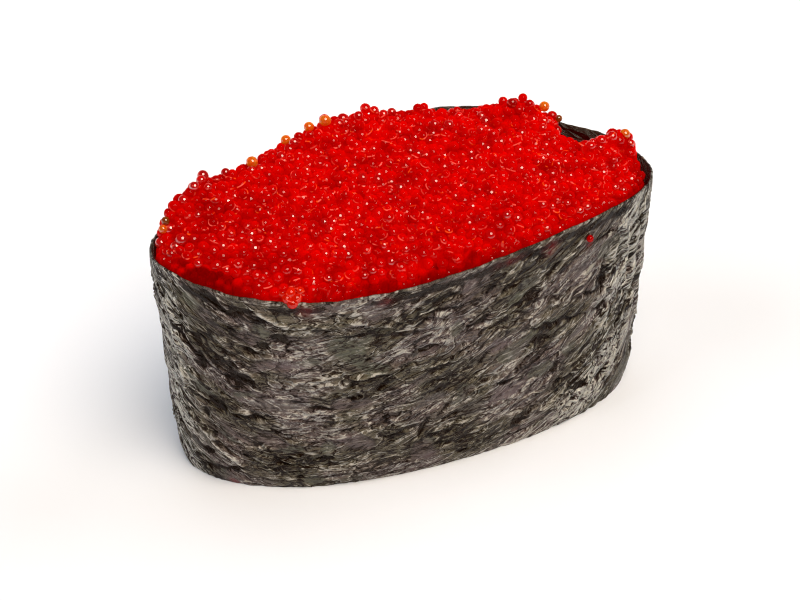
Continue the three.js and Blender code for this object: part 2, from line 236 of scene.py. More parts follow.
def make_piece(name, points, faces, finish, attributes=(), uv=None):
    """A mesh object at the origin from points in mm. Each attribute is one number for a point,
    and `uv` two numbers for a point."""
    mesh = bpy.data.meshes.new(name)
    mesh.from_pydata((np.asarray(points) * MM).tolist(), [], [list(face) for face in faces])
    mesh.update()
    mesh.polygons.foreach_set("use_smooth", np.ones(len(mesh.polygons), bool))
    for label, values in dict(attributes).items():
        layer = mesh.attributes.new(label, "FLOAT", "POINT")
        layer.data.foreach_set("value", np.ascontiguousarray(values, np.float32).ravel())
    if uv is not None:
        corner = np.empty(len(mesh.loops), np.int32)
        mesh.loops.foreach_get("vertex_index", corner)
        layer = mesh.uv_layers.new(name="sheet")
        layer.data.foreach_set("uv", np.asarray(uv, np.float32)[corner].ravel())
    mesh.materials.append(finish)
    piece = bpy.data.objects.new(name, mesh)
    bpy.context.scene.collection.objects.link(piece)
    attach(piece, "root")
    return piece


def ball(detail):
    """Corners and triangles of a unit ball: an icosahedron at detail 1, and each step more splits
    its faces in four."""
    form = bmesh.new()
    bmesh.ops.create_icosphere(form, subdivisions=detail, radius=1)
    corners = np.array([v.co[:] for v in form.verts])
    faces = np.array([[v.index for v in f.verts] for f in form.faces])
    form.free()
    return corners, faces


def random_turns(random, count):
    """A random turn in space for each of `count` things, as 3 x 3 matrices from quaternions."""
    parts = random.normal(size=(4, count))
    w, x, y, z = parts / np.linalg.norm(parts, axis=0)
    return np.stack([
        1 - 2 * (y * y + z * z), 2 * (x * y - z * w), 2 * (x * z + y * w),
        2 * (x * y + z * w), 1 - 2 * (x * x + z * z), 2 * (y * z - x * w),
        2 * (x * z - y * w), 2 * (y * z + x * w), 1 - 2 * (x * x + y * y),
    ], -1).reshape(count, 3, 3)


# --- finishes

class Wire:
    """A socket of a tree of nodes. Python's operators on it add Math nodes."""

    def __init__(self, tree, socket):
        self.tree, self.socket = tree, socket

    def _math(self, operation, *values, **settings):
        settings["operation"] = operation
        return self.tree.out(self.tree.node("ShaderNodeMath", settings, dict(enumerate(values))))

    def __add__(self, other):
        return self._math("ADD", self, other)

    def __sub__(self, other):
        return self._math("SUBTRACT", self, other)

    def __rsub__(self, other):
        return self._math("SUBTRACT", other, self)

    def __mul__(self, other):
        return self._math("MULTIPLY", self, other)

    def __truediv__(self, other):
        return self._math("DIVIDE", self, other)

    def __rtruediv__(self, other):
        return self._math("DIVIDE", other, self)

    def __abs__(self):
        return self._math("ABSOLUTE", self)

    __radd__ = __add__
    __rmul__ = __mul__

    def clamped(self):
        """The value kept between 0 and 1."""
        return self._math("ADD", self, 0.0, use_clamp=True)

    def step(self, low, high):
        """Smoothly from 0 at `low` to 1 at `high`."""
        return self.tree.out(self.tree.node("ShaderNodeMapRange", {"interpolation_type": "SMOOTHSTEP"},
                                            {"Value": self, "From Min": low, "From Max": high}))


class Tree:
    """The nodes of a finish, of the surround or of the picture."""

    def __init__(self, owner):
        owner.use_nodes = True
        self.nodes, self.links = owner.node_tree.nodes, owner.node_tree.links

    def node(self, kind, settings=None, values=None):
        """A node of a kind, its settings set first and then its sockets' values or links."""
        made = self.nodes.new(kind)
        for label, value in (settings or {}).items():
            setattr(made, label, value)
        self.feed(made, values or {})
        return made

    def feed(self, node, values):
        """Sets or links sockets of a node, named or numbered."""
        for label, value in values.items():
            if isinstance(value, Wire):
                self.links.new(value.socket, node.inputs[label])
            else:
                node.inputs[label].default_value = value

    def out(self, node, label=0):
        """An output of a node, as a wire."""
        return Wire(self, node.outputs[label])


class Finish(Tree):
    """A material of one Principled shader, which the wires lead to."""

    def __init__(self, name):
        self.material = bpy.data.materials.new(name)
        super().__init__(self.material)
        self.shader = next(n for n in self.nodes if n.type == "BSDF_PRINCIPLED")

    def attribute(self, label):
        """An attribute of the mesh, as a number."""
        return self.out(self.node("ShaderNodeAttribute", {"attribute_name": label}), "Fac")

    def sheet(self, stretch_along, stretch_up):
        """The place on the sheet in mm, each way divided by a stretch."""
        uv = self.node("ShaderNodeUVMap", {"uv_map": "sheet"})
        scale = (SHEET_UNIT / stretch_along, SHEET_UNIT / stretch_up, 0)
        return self.out(self.node("ShaderNodeVectorMath", {"operation": "MULTIPLY"},
                                  {0: self.out(uv), 1: scale}))

    def object_place(self, pitch):
        """The place in the object in mm, divided by a pitch."""
        place = self.node("ShaderNodeTexCoord")
        return self.out(self.node("ShaderNodeVectorMath", {"operation": "SCALE"},
                                  {0: self.out(place, "Object"), "Scale": 1 / MM / pitch}))

    def noise(self, place, detail=0, distortion=0.0, roughness=0.5):
        """Noise of 0 to 1 with a pitch of 1."""
        return self.out(self.node("ShaderNodeTexNoise", None, {
            "Vector": place,
            "Scale": 1.0,
            "Detail": detail,
            "Roughness": roughness,
            "Distortion": distortion,
        }))

    def mix(self, factor, first, second):
        """Two colours mixed. The factor and either colour may be wires."""
        colours = [c if isinstance(c, Wire) else (*c, 1) for c in (first, second)]
        node = self.node("ShaderNodeMix", {"data_type": "RGBA"}, {0: factor, 6: colours[0], 7: colours[1]})
        return self.out(node, 2)

    def bump(self, height, reach, strength):
        """A bump of a height from 0 to 1 that reaches so many mm."""
        values = {"Height": height, "Distance": reach * MM, "Strength": strength}
        return self.out(self.node("ShaderNodeBump", None, values))


def nori_finish(settings):
    """Moist dried seaweed. Its lines follow noise that is stretched along the fibres: a wide
    crest rises where the noise crosses its middle value, and on a fold a thin pale line, a
    little above that value, runs beside a thin dark one, a little below it, as painted light
    and painted shade on the fold's two sides. The colour is painted paler on the mesh relief's
    ridges (painted light) and darker in its creases and pits (painted shade). Crumpled parts
    with painted sheen, near both ends, are rougher and paler, and plates are smoother."""
    finish = Finish("nori")
    mix = finish.mix
    painted_relief_shade, patch, crumple_and_sheen, hue, inside, smear, cream = (
        finish.attribute(label) for label in ("painted_relief_shade", "patch", "crumple_and_sheen", "hue", "inside", "smear", "cream"))

    def noise(along, up, *kind):
        return finish.noise(finish.sheet(along, up), *kind)

    def crest(along, up, reach, *kind):
        return (1 - abs(noise(along, up, *kind) - 0.5) / reach).clamped()

    # A fold is a painted emboss: a pale line for its lit side beside a dark line for its shaded side.
    def fold(along, up, reach, *kind):
        rise = (noise(along, up, *kind) - 0.5) / reach
        return (1 - abs(rise - 0.9)).clamped() - (1 - abs(rise + 0.9)).clamped() * 1.15

    # The stretch along and up the sheet in mm, the reach of a crest or a fold, and then the noise's
    # detail, distortion and roughness.
    drift = noise(9, 5, 2)
    broken = noise(2.3, 1.3, 2)
    swell = noise(3.6, 1.5, 1, 0.8)
    weave = noise(1.1, 0.55, 3, 0.8, 0.65)
    large = crest(6.5, 2.1, 0.22, 1, 0.8)
    middle = crest(3.1, 1.0, 0.2, 0, 1.3)
    small = crest(1.4, 0.55, 0.25, 0, 1.8)
    across = crest(0.9, 1.9, 0.1, 0, 1.8) * drift.step(0.45, 0.6)
    long = fold(5.7, 2.0, 0.035, 3, 1.2)
    mid = fold(2.6, 1.0, 0.05, 2, 1.6) * broken.step(0.38, 0.5)
    short = fold(1.25, 0.62, 0.09, 1, 1.8) * broken.step(0.6, 0.48)

    rough = (1 - 0.45 * patch) * (1 + 1.3 * crumple_and_sheen.clamped())
    # Painted light and shade from the relief: where the mesh relief is low the colour is painted darker
    # (painted shade in pits and creases), and where it is high it is painted paler (painted light on ridges).
    pits = (painted_relief_shade * -1 - 0.45).clamped()
    ridges = (painted_relief_shade - 0.7).clamped()
    lines = long * 2.3 + mid * 1.9 + short * 1.0 + across * 0.8
    # The broad noise drift paints large patches lighter and darker as painted sheen, besides the olive and
    # purple hue that it also sets. The crumpled ends also get painted sheen here.
    value = (painted_relief_shade * 0.85 + (drift - 0.5) * 5.0 + (swell - 0.5) * 2.6 + crumple_and_sheen * 1.3 - 0.38 - pits * 4
             + ridges * 2.6 + ((weave - 0.5) * 0.9 + lines * 0.98) * rough * (1 - 0.5 * pits))

    body = mix(drift.step(0.42, 0.6), settings.olive, settings.purple)
    body = mix(patch * 0.65, body, mix(hue, settings.patch, settings.plum))
    # The pale and crest colours are painted light where the value is high, and the crease colour is painted
    # shade where it is low. The value also holds the sheet's own random tone.
    body = mix(value.step(0.2, 2.8), body, settings.pale)
    body = mix(value.step(1.6, 4.4) * crumple_and_sheen.clamped(), body, settings.crest)
    body = mix(value.step(0.1, -2.2), body, settings.dark)
    body = mix(inside, body, settings.inside)
    body = mix(smear, body, settings.stain)
    body = mix(cream, body, settings.cream)
    height = (large * 0.8 + middle * 0.32 + small * 0.1 + across * 0.06 + long * 0.05 + mid * 0.04) * rough
    finish.feed(finish.shader, {
        "Base Color": body,
        "Roughness": (0.25 + 0.35 * weave).clamped(),
        "Normal": finish.bump(height, 1.0, 1.0),
        "Specular IOR Level": 0.3,
    })
    return finish.material


def roe_finish(name, dark, bright, glow, settings, depth):
    """The skin and jelly of the eggs: clear, with light that spreads `depth` mm inside and glows
    a little. Each egg's wetness sets how sharply it mirrors the lamp, and on some a curl of
    gathered light follows a line round it, broken by noise. Dim places are darker and glow less."""
    finish = Finish(name)
    mix = finish.mix
    shade, dim, curl, arc, wet = (finish.attribute(label) for label in ("shade", "dim", "curl", "arc", "wet"))
    cloud = finish.noise(finish.object_place(2.4), 2)
    wobble = finish.noise(finish.object_place(0.9), 1)
    parts = finish.noise(finish.object_place(0.4))
    tint = mix((shade * 0.25 + cloud.step(0.36, 0.62) * 0.75).clamped(), dark, bright)
    inner = mix(cloud.step(0.3, 0.7), [0.6 * part for part in glow], glow)
    inner = mix(dim, inner, settings.dim_glow)
    gathered = (1 - abs(curl) / 0.12).clamped() * arc * parts.step(0.46, 0.52)
    light = mix(wobble.step(0.46, 0.4), settings.arc, settings.warm_arc)
    finish.feed(finish.shader, {
        "Base Color": mix(dim, tint, settings.dim),
        "Roughness": 0.12,
        "IOR": 1.36,
        "Specular IOR Level": 0.0,
        "Subsurface Weight": 1.0,
        "Subsurface Radius": (1.0, 0.1, 0.06),
        "Subsurface Scale": depth * MM,
        "Coat Weight": wet,
        "Coat Roughness": 0.05,
        "Coat IOR": 2.4,
        "Normal": finish.bump(wobble, 0.04, 0.5),
        "Emission Color": mix(gathered, inner, light),
        "Emission Strength": 1.0,
    })
    return finish.material


def rice_finish(settings):
    """Cooked white rice: a little translucent, with a moist gloss."""
    finish = Finish("rice")
    cloud = finish.noise(finish.object_place(1.8), 3)
    fine = finish.noise(finish.object_place(0.35), 2)
    finish.feed(finish.shader, {
        "Base Color": finish.mix(cloud.step(0.3, 0.7), settings.shaded, settings.lit),
        "Roughness": (0.28 + 0.3 * fine).clamped(),
        "Normal": finish.bump(fine, 0.05, 0.5),
        "Subsurface Weight": 0.6,
        "Subsurface Radius": (1.0, 0.8, 0.6),
        "Subsurface Scale": 0.9 * MM,
    })
    return finish.material


# --- sizes and colours

def colour(label, value, about):
    """A setting that is a colour."""
    return FloatVectorProperty(name=label, description=about, default=value, subtype="COLOR", min=0, max=1)


def length(label, value, about):
    """A setting in metres."""
    return FloatProperty(name=label, description=about, default=value, unit="LENGTH", precision=5)


def turn(label, value, about):
    """A setting that is an angle, given in degrees."""
    return FloatProperty(name=label, description=about, default=math.radians(value), unit="ROTATION")


class NoriSettings(PropertyGroup):
    thickness: length("Thickness", 0.00045, "Of the sheet")
    rim_thickness: length("Rim thickness", 0.0003, "Of the sheet's upper edge, stretched thin")
    relief: length("Relief", 0.00068, "Height of the ridges over the creases")
    olive: colour("Olive", (0.133, 0.111, 0.075), "Olive parts of the sheet")
    purple: colour("Purple", (0.144, 0.103, 0.097), "Purple brown parts of the sheet")
    patch: colour("Green plates", (0.1, 0.106, 0.076), "Smooth grey green plates")
    plum: colour("Purple plates", (0.13, 0.09, 0.095), "Smooth purple brown plates")
    # Partly the sheet's pale strands, and partly painted light on ridges and on the lit side of folds.
    pale: colour("Strands", (0.55, 0.51, 0.46), "Pale strands and ridges")
    # Painted sheen on the palest ridges, near both ends of the oval.
    crest: colour("Crests", (0.9, 0.87, 0.8), "The palest ridges, at both ends of the oval")
    # Painted shade in the creases and pits and on the shaded side of folds.
    dark: colour("Creases", (0.013, 0.004, 0.0005), "Creases and pits")
    inside: colour("Inside", (0.032, 0.021, 0.014), "The inner face, above the eggs")
    stain: colour("Stain", (0.2, 0.004, 0.006), "Smears of roe on the outer face")
    cream: colour("Cream", (0.5, 0.42, 0.26), "The spot on the back of the rim that light comes through")


class RoeSettings(PropertyGroup):
    count: IntProperty(name="Eggs", description="In the top layers, packed and loose", default=2300, min=100)
    radius: length("Egg radius", 0.0006, "Of a middling egg")
    spread: length("Spread", 0.00007, "How far the radius varies")
    layer: length("Layer", 0.0012, "Depth that the eggs' middles lie in")
    dark: colour("Dark", (0.2, 0.0, 0.0), "The darkest eggs")
    bright: colour("Bright", (0.31, 0.0005, 0.0), "The brightest eggs")
    coral: colour("Coral", (0.36, 0.004, 0.001), "The eggs that hang over the front")
    amber: colour("Amber", (0.62, 0.12, 0.004), "The few orange eggs")
    brown: colour("Brown", (0.14, 0.035, 0.002), "The few brown eggs")
    dim: colour("Dim", (0.07, 0.0, 0.0), "Eggs that get little light")
    glow: colour("Glow", (0.4, 0.0, 0.0), "Light that comes through the eggs from their neighbours")
    coral_glow: colour("Coral glow", (0.48, 0.007, 0.0), "The same, over the front")
    amber_glow: colour("Amber glow", (0.1, 0.012, 0.0), "The same, in the orange eggs")
    brown_glow: colour("Brown glow", (0.05, 0.01, 0.0), "The same, in the brown eggs")
    dim_glow: colour("Dim glow", (0.13, 0.0, 0.0), "The same, where they get little light")
    arc: colour("Arc", (1.0, 0.15, 0.1), "The curl of gathered light on some eggs")
    warm_arc: colour("Warm arc", (1.0, 0.1, 0.01), "The same, where it is orange")


class RiceSettings(PropertyGroup):
    grain_length: length("Grain length", 0.0054, "Of cooked rice")
    grain_width: length("Grain width", 0.0024, "Of cooked rice")
    lit: colour("Lit", (0.86, 0.84, 0.76), "Opaque parts of the grains")
    shaded: colour("Shaded", (0.72, 0.7, 0.6), "Clearer parts of the grains")


class StageSettings(PropertyGroup):
    floor: colour("Floor", (0.87, 0.89, 0.96), "Plain floor")
    azimuth: turn("Azimuth", -22.612, "Of the camera")
    elevation: turn("Elevation", 39.995, "Of the camera")
    distance: length("Distance", 0.27946, "From the camera to what it looks at")


# --- nori

# Rise of the sheet's fibres for each mm along the band, by the angle in degrees.
FIBRE_SLOPE = [(92, 0.1), (150, -0.3), (178, -0.9), (190, -0.8), (205, -0.55), (220, -0.3), (232, 0.0),
               (252, 0.17), (285, 0.32), (302, 0.5), (318, 0.9), (332, 1.3), (346, 1.1), (390, 0.1),
               (430, -0.15), (472, 0.1)]
OUTER_ROWS = 131
INNER_ROWS = 27
COLUMNS = 622

# Creases, pits and ridges that stand out: the angle in degrees and the height in mm of both
# ends, the half width in mm, and how far they rise, or sink where that is negative.
MARKS = [
    (205.5, 27.2, 212.5, 25.9, 0.35, -1.1), (212.5, 25.9, 221.5, 26.6, 0.35, -1.6),
    (222.5, 21.9, 224.5, 21.5, 0.45, -1.7), (227, 23.2, 231, 22.4, 0.5, -1.6),
    (200.5, 18.7, 201, 17, 0.5, -1.4), (190, 20.7, 194, 19.8, 0.35, -1.2),
    (210.5, 16.6, 219.5, 16, 0.6, -1.3), (203, 12.5, 208.5, 11.6, 0.55, -1.5),
    (198.5, 10.6, 201, 9.9, 0.4, -1.4), (213, 10.8, 222.5, 11.2, 0.28, -1.5),
    (181, 1, 213, 2.8, 0.25, -1.2), (198.5, 4.7, 200, 4.1, 0.55, -1.7),
    (226.5, 5, 242.5, 4.8, 0.28, -1.4), (232, 1.8, 233, 1.4, 0.4, -1.3),
    (280.5, 24.3, 282.5, 25, 0.6, -1.3), (290, 21.4, 292.5, 22.2, 0.42, -1.6),
    (276, 20.1, 281, 20.6, 0.38, -1.5), (292.5, 14.7, 296.5, 14.4, 0.48, -1.6),
    (289, 16.7, 311.5, 15, 0.22, -1.2), (311.5, 15, 331, 15.4, 0.22, -1.2),
    (292.5, 26.5, 294.5, 26.2, 0.38, -1.4), (288, 3.5, 290.5, 3.8, 0.48, -1.4),
    (265, 6.2, 267, 8.3, 0.5, -1.3), (247.5, 13.6, 248.5, 13.9, 0.4, -1.3),
    (265, 18.8, 269.5, 19.1, 0.32, -1.2), (313, 4.5, 318, 5.5, 0.6, -1.2),
    (210, 27.6, 213.5, 26.4, 0.25, 1.1), (221, 26.9, 232, 25.2, 0.25, 1.4),
    (190.5, 9.5, 206, 5.5, 0.36, 1.5), (206, 5.5, 213.5, 3.3, 0.36, 1.4),
    (229.5, 16.2, 245.5, 17.7, 0.3, 1.3), (236.5, 15.8, 260, 17.4, 0.28, 1.3),
    (186, 24.2, 190.5, 13, 0.34, 1.0), (212.5, 19.8, 222.5, 16.1, 0.3, 1.2),
    (330, 25.3, 336, 9.6, 0.36, 1.2), (328.5, 26.7, 340, 15, 0.36, 1.1),
    (310.5, 16.6, 321, 18.5, 0.34, 1.1), (241.5, 7.6, 260, 9.2, 0.28, 1.0),
    (247, 25.5, 258.5, 23.6, 0.25, 1.1), (303.5, 0.5, 315, 3.3, 0.34, 1.1),
    (318.5, 25.6, 323, 20.1, 0.4, 1.5), (323, 20.1, 319.5, 18.4, 0.35, 1.4),
    (327, 24.1, 326.5, 19.4, 0.4, 1.5), (326.5, 19.4, 325, 15.4, 0.4, 1.5),
    (328, 14.4, 325, 8.9, 0.4, 1.5), (325, 8.9, 316.5, 5.1, 0.35, 1.5), (325, 12, 313, 8.5, 0.3, 1.4),
    (310, 5.8, 304.5, 2.7, 0.32, 1.5), (304.5, 2.7, 301, 0.8, 0.3, 1.4), (324, 6.1, 308.5, 3, 0.3, 1.3),
    (317, 23.8, 315, 20, 0.3, 1.3), (316.5, 15.3, 311.5, 12.2, 0.3, 1.3),
    (310, 10.3, 305, 7.5, 0.28, 1.3), (306, 18.5, 315, 17.3, 0.22, -1.3),
    (321, 10, 310.5, 7.2, 0.22, -1.3), (313, 22.2, 312, 18.4, 0.25, -1.2),
    (325, 13.6, 316, 9.8, 0.2, -1.3), (307, 5.1, 302, 2.4, 0.22, -1.3),
    (324, 22.1, 323.5, 17.4, 0.25, -1.3),
]

# Smooth plates: the angle, the height, the half length and half height in mm, and the hue from
# 0, grey green, to 1, purple brown.
PLATES = [
    (223.5, 23.9, 0.9, 0.9, 0), (219, 22.8, 1.5, 1.1, 1), (227, 13.2, 3.1, 0.8, 0.6),
    (191.5, 5.8, 2, 1.4, 0.5), (230.5, 6.5, 1.4, 0.45, 0), (241, 6.4, 1, 0.6, 0),
    (245.5, 21.8, 1.4, 1.3, 0), (254.5, 26.3, 1.4, 1.3, 0.8), (290.5, 23.3, 1.1, 0.7, 0.2),
    (273.5, 20.7, 0.8, 1.1, 0), (295, 15.4, 0.9, 0.5, 0.4), (314, 23.2, 1.7, 1.9, 0),
    (311, 26.7, 1.6, 1, 0.7), (295, 10, 1.8, 1, 0), (277.5, 7.9, 1.6, 1.2, 0.5),
    (284, 16.1, 1.6, 0.9, 1), (267.5, 11.2, 1.8, 0.9, 0.5), (330, 2, 2.4, 2, 0.2),
]

# Smears of roe: the angle and the spread in degrees, the height and how tall in mm, and the
# strength.
SMEARS = [
    (296, 1.6, 27.0, 0.9, 0.8), (257, 1.6, 27.3, 0.5, 0.75), (237, 2.4, 27.4, 0.9, 0.55),
    (306.5, 1.0, 25.4, 0.7, 0.7), (286, 3, 27.5, 0.5, 0.5), (208.5, 2.2, 0.25, 0.45, 1.0),
    (163, 2.0, 1.5, 1.6, 0.9),
]


def stroke(along, height, start, end, half_width):
    """A hill over the distance from the straight line between two points of the sheet, whose
    width is the half width and narrows towards both ends."""
    (x, y), (way_x, way_y) = start, np.subtract(end, start)
    share = np.clip(((along - x) * way_x + (height - y) * way_y) / (way_x ** 2 + way_y ** 2), 0, 1)
    away = np.hypot(along - x - share * way_x, height - y - share * way_y)
    return hill(away, half_width * (0.55 + 0.65 * np.sqrt(4 * share * (1 - share))))


def fibre_rise(angle, along):
    """How many mm up the sheet the fibres have climbed at each place along it."""
    slope = np.interp(np.degrees(angle), *np.transpose(FIBRE_SLOPE))
    return np.cumsum(slope * np.diff(along, axis=0, prepend=0), axis=0)


def relief(angle, along, height):
    """How far the sheet stands out, from -1.7 to 1.5, how much of a smooth plate it is and the
    hue of the plates. Ridges and creases are hills over the zero lines of noise that is stretched
    along the fibres, which drift up or down the sheet and wander; pits are the peaks of another
    such noise. The listed marks and plates lie over them."""
    drift = fibre_rise(angle, along)
    x = along + 1.8 * ripple(along / 7, height / 6, 1)
    y = height - drift + 1.1 * ripple(along / 6, height / 5, 2) + 0.4 * ripple(along / 2.2, height / 1.8, 3)

    def line(pitch_along, pitch_up, width, seed):
        return hill(ripple(x / pitch_along, y / pitch_up, seed), width)

    strength = 0.7 + 0.6 * ripple(along / 9, (height - drift) / 3.4, 4)
    ridges = 0.5 * line(7, 1.9, 0.15, 5) + 0.5 * line(4.2, 1.1, 0.2, 6) + 0.25 * line(3, 0.8, 0.3, 17)
    creases = (0.8 * line(8, 2.4, 0.11, 7) * smoothstep(ripple(x / 8, y / 4, 8), -0.1, 0.3)
               + 0.6 * line(5, 1.4, 0.14, 9) * smoothstep(ripple(x / 5, y / 3, 10), -0.1, 0.3))
    pits = smoothstep(ripple(x / 2.6, y / 1.1, 11), 0.4, 0.7)
    fine = 0.45 * ripple(x / 2.2, y / 0.7, 12)
    wander = (height + 0.45 * ripple(along / 1.7, height / 1.7, 15)
              + 0.2 * ripple(along / 0.7, height / 0.6, 19))
    patch = smoothstep(ripple(x / 5.5, y / 3.2, 13), 0.34, 0.5)
    hue = smoothstep(ripple(along / 9, height / 6, 16), -0.2, 0.2)

    def place(degrees):
        return np.interp(np.radians(degrees), angle[:, 0], along[:, 0])

    for middle, level, half_length, half_height, kind in PLATES:
        reach = np.hypot((along - place(middle)) / half_length, (wander - level) / half_height)
        plate = smoothstep(reach + 0.2 * ripple(along / 1.1, height / 1.1, 18), 1.25, 0.85)
        patch = np.maximum(patch, plate)
        hue = hue + (kind - hue) * plate
    form = strength * (ridges + fine) - creases - 0.9 * pits
    form = form * (1 - 0.7 * patch) + 0.3 * ripple(along / 5, height / 4, 14)
    form = form - form.mean()
    for first, low, last, high, half_width, rise in MARKS:
        line_up = stroke(along, wander, (place(first), low), (place(last), high), half_width)
        form = form + line_up * (rise - 0.6 * form)
    return np.clip(form, -1.7, 1.5), patch, hue


def make_nori(settings):
    """The strip's section is a loop: up the outer face, over the thin rim and down the inner
    face. It is carried round the oval from the seam and over its own start."""
    thickness, thin = settings.thickness / MM, settings.rim_thickness / MM
    angles = SEAM + np.linspace(0, TURN + OVERLAP, 6000)
    x, y = oval(angles)
    run = np.concatenate([[0.0], np.cumsum(np.hypot(np.diff(x), np.diff(y)))])
    along = np.linspace(0, run[-1], COLUMNS)[:, None]
    angle = np.interp(along, run, angles)
    turned = angle - SEAM
    start = smoothstep(turned, OVERLAP, OVERLAP + RAMP)
    lift = LAYER * smoothstep(turned, TURN - RAMP, TURN)
    share = np.linspace(0, 1, OUTER_ROWS)[None, :]
    inner_share = np.linspace(1, 0, INNER_ROWS)[None, :]
    height = share * BAND_HEIGHT

    # The outer face, with nicks in its rim and a lip at the right end, and the inner face. The
    # strip's start, which its end covers, has no relief.
    form, patch, hue = relief(angle, along, height)
    broad = (0.06 * np.sin(0.95 * height + 3 * np.sin(2 * angle + 0.4))
             + 0.05 * np.sin(1.35 * height - 5 * angle + 1.7 * np.cos(3 * angle)))
    lip = 0.4 * bell(angle, 326, 16)
    calm = np.minimum(1, 5 * np.minimum(share, 1 - share) + 0.35)
    stands = calm * (form * settings.relief / MM / 2 + broad) + lip * smoothstep(share, 0.82, 0.9)
    nicks = 0.13 * ripple(along / 2.3, 0.5, 21) + 0.07 * ripple(along / 0.7, 0.5, 22)
    outer = wall(angle, share, -lift - start * stands)
    outer[..., 2] += nicks * smoothstep(share, 0.9, 1)
    depth = thin + (thickness - thin) * smoothstep(1 - inner_share, 0, 0.15)
    depth = depth - start * lip * smoothstep(inner_share, 0.82, 0.9)
    inner = wall(angle, inner_share, depth - lift + 0.05 * ripple(along / 3, inner_share * 12, 23))
    inner[..., 2] += nicks * smoothstep(inner_share, 0.9, 1)
    top = (outer[:, -1:] + inner[:, :1]) / 2 + [0, 0, 0.1]
    points = np.concatenate([outer, top, inner], 1)
    rows = points.shape[1]

    # The skin of the loop, and both ends of the strip in steps of one inner row.
    faces = grid_faces(COLUMNS, rows)[:, ::-1].tolist()
    per = (OUTER_ROWS - 1) // (INNER_ROWS - 1)
    for step in range(INNER_ROWS - 1):
        low = step * per
        section = list(range(low, low + per + 1))
        if step == INNER_ROWS - 2:
            section.append(OUTER_ROWS)
        section += [rows - 2 - step, rows - 1 - step]
        faces.append(section)
        faces.append([(COLUMNS - 1) * rows + n for n in reversed(section)])

    # Looks: a painted shadow under the rim's lip (darker colour only) and a pale edge on the rim,
    # both broken, crumpled ends with painted sheen, smears of roe and the spot that light comes
    # through.
    painted_lip_shadow = hill(height - 27.35 - nicks, 0.4) * smoothstep(ripple(along / 4, 0.5, 25), -0.5, 0.2)
    edge = smoothstep(height, 27.9, 28.2) * smoothstep(ripple(along / 2.5, 0.5, 26), -0.1, 0.4)
    # Painted sheen: a slanting band at the right front and both ends of the oval are paler and more crumpled,
    # and a place at the left front is darker, which is painted shade.
    lit = np.interp(height, [0, 10, 28], [305, 318, 326])
    crumple_and_sheen = (1.3 * hill(np.degrees(angle) - lit, 8.5) + 1.4 * bell(angle, 184, 11)
             + 0.8 * bell(angle, 343, 9) - 0.5 * bell(angle, 208, 9))
    smear = sum(strength * bell(angle, middle, spread) * hill(height - level, tall)
                for middle, spread, level, tall, strength in SMEARS)
    smear = np.clip(smear * (0.75 + 0.5 * ripple(along / 0.8, height / 0.5, 24)), 0, 0.85)
    cream = bell(angle, 73, 1.3) * smoothstep(share, 0.975, 1.0)

    def over_rows(values, at_rim, within):
        parts = ((values, OUTER_ROWS), (at_rim, 1), (within, INNER_ROWS))
        return np.concatenate([np.broadcast_to(part, (COLUMNS, count)) for part, count in parts], 1)

    # The relief's form goes into the colour as painted light on ridges and painted shade in creases, with the
    # painted lip shadow and the pale edge.
    looks = {"painted_relief_shade": form - 1.5 * painted_lip_shadow + 0.7 * edge, "crumple_and_sheen": crumple_and_sheen, "patch": patch, "cream": cream}
    own = {label: over_rows(values, values[:, -1:], 0.0) for label, values in looks.items()}
    own["hue"] = over_rows(hue, hue[:, -1:], 0.5)
    own["smear"] = over_rows(smear, 0.0, 0.0)
    own["inside"] = over_rows(0.0, 0.7, 0.95 * smoothstep(inner_share, 0.0, 0.2))
    up = over_rows(height, BAND_HEIGHT, inner_share * BAND_HEIGHT) - fibre_rise(angle, along)
    sheet = np.stack(np.broadcast_arrays(along, up), -1).reshape(-1, 2) / SHEET_UNIT
    piece = make_piece("nori_band", points.reshape(-1, 3), faces, nori_finish(settings), own, sheet)
    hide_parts("nori")


# --- roe

CORE_COLUMNS = 700
CORE_RINGS = 92
SINK = 0.35               # gaps between the eggs of the core lie this far below the heap's level
NESTLE = 0.3              # single eggs lie this far into the gaps between those below them
POCKETS = 900             # places that are looked at for more single eggs,
LOW_POCKETS = 400         # the lowest ones that are tried,
MORE_EGGS = 110           # the eggs that are laid there, besides the listed ones,
APART = 1.3               # and the least distance in plan between single eggs


